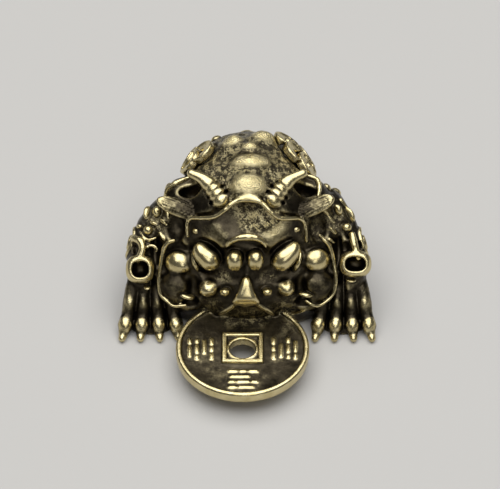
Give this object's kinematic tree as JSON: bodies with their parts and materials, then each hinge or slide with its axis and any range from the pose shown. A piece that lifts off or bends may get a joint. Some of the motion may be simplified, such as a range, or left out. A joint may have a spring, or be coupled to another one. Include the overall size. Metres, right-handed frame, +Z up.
{
  "type": "toad statue",
  "caption": "Small cast figure of a crouching horned toad that holds a pierced coin flat in its mouth; stands on its flat underside as an ornament or paperweight.",
  "frame": {"origin": "centre of the bounding box on the ground, under the belly", "axes": "+Z up, the face and the coin point along -Y, +X to the right of a viewer who faces the toad"},
  "size_m": [0.03, 0.034, 0.0189],
  "materials": {
    "antique_brass": "antique brass, polished on raised parts over a near-black patina in the recesses"
  },
  "bodies": {
    "root": {"brass_toad": "antique_brass"}
  },
  "joints": []
}
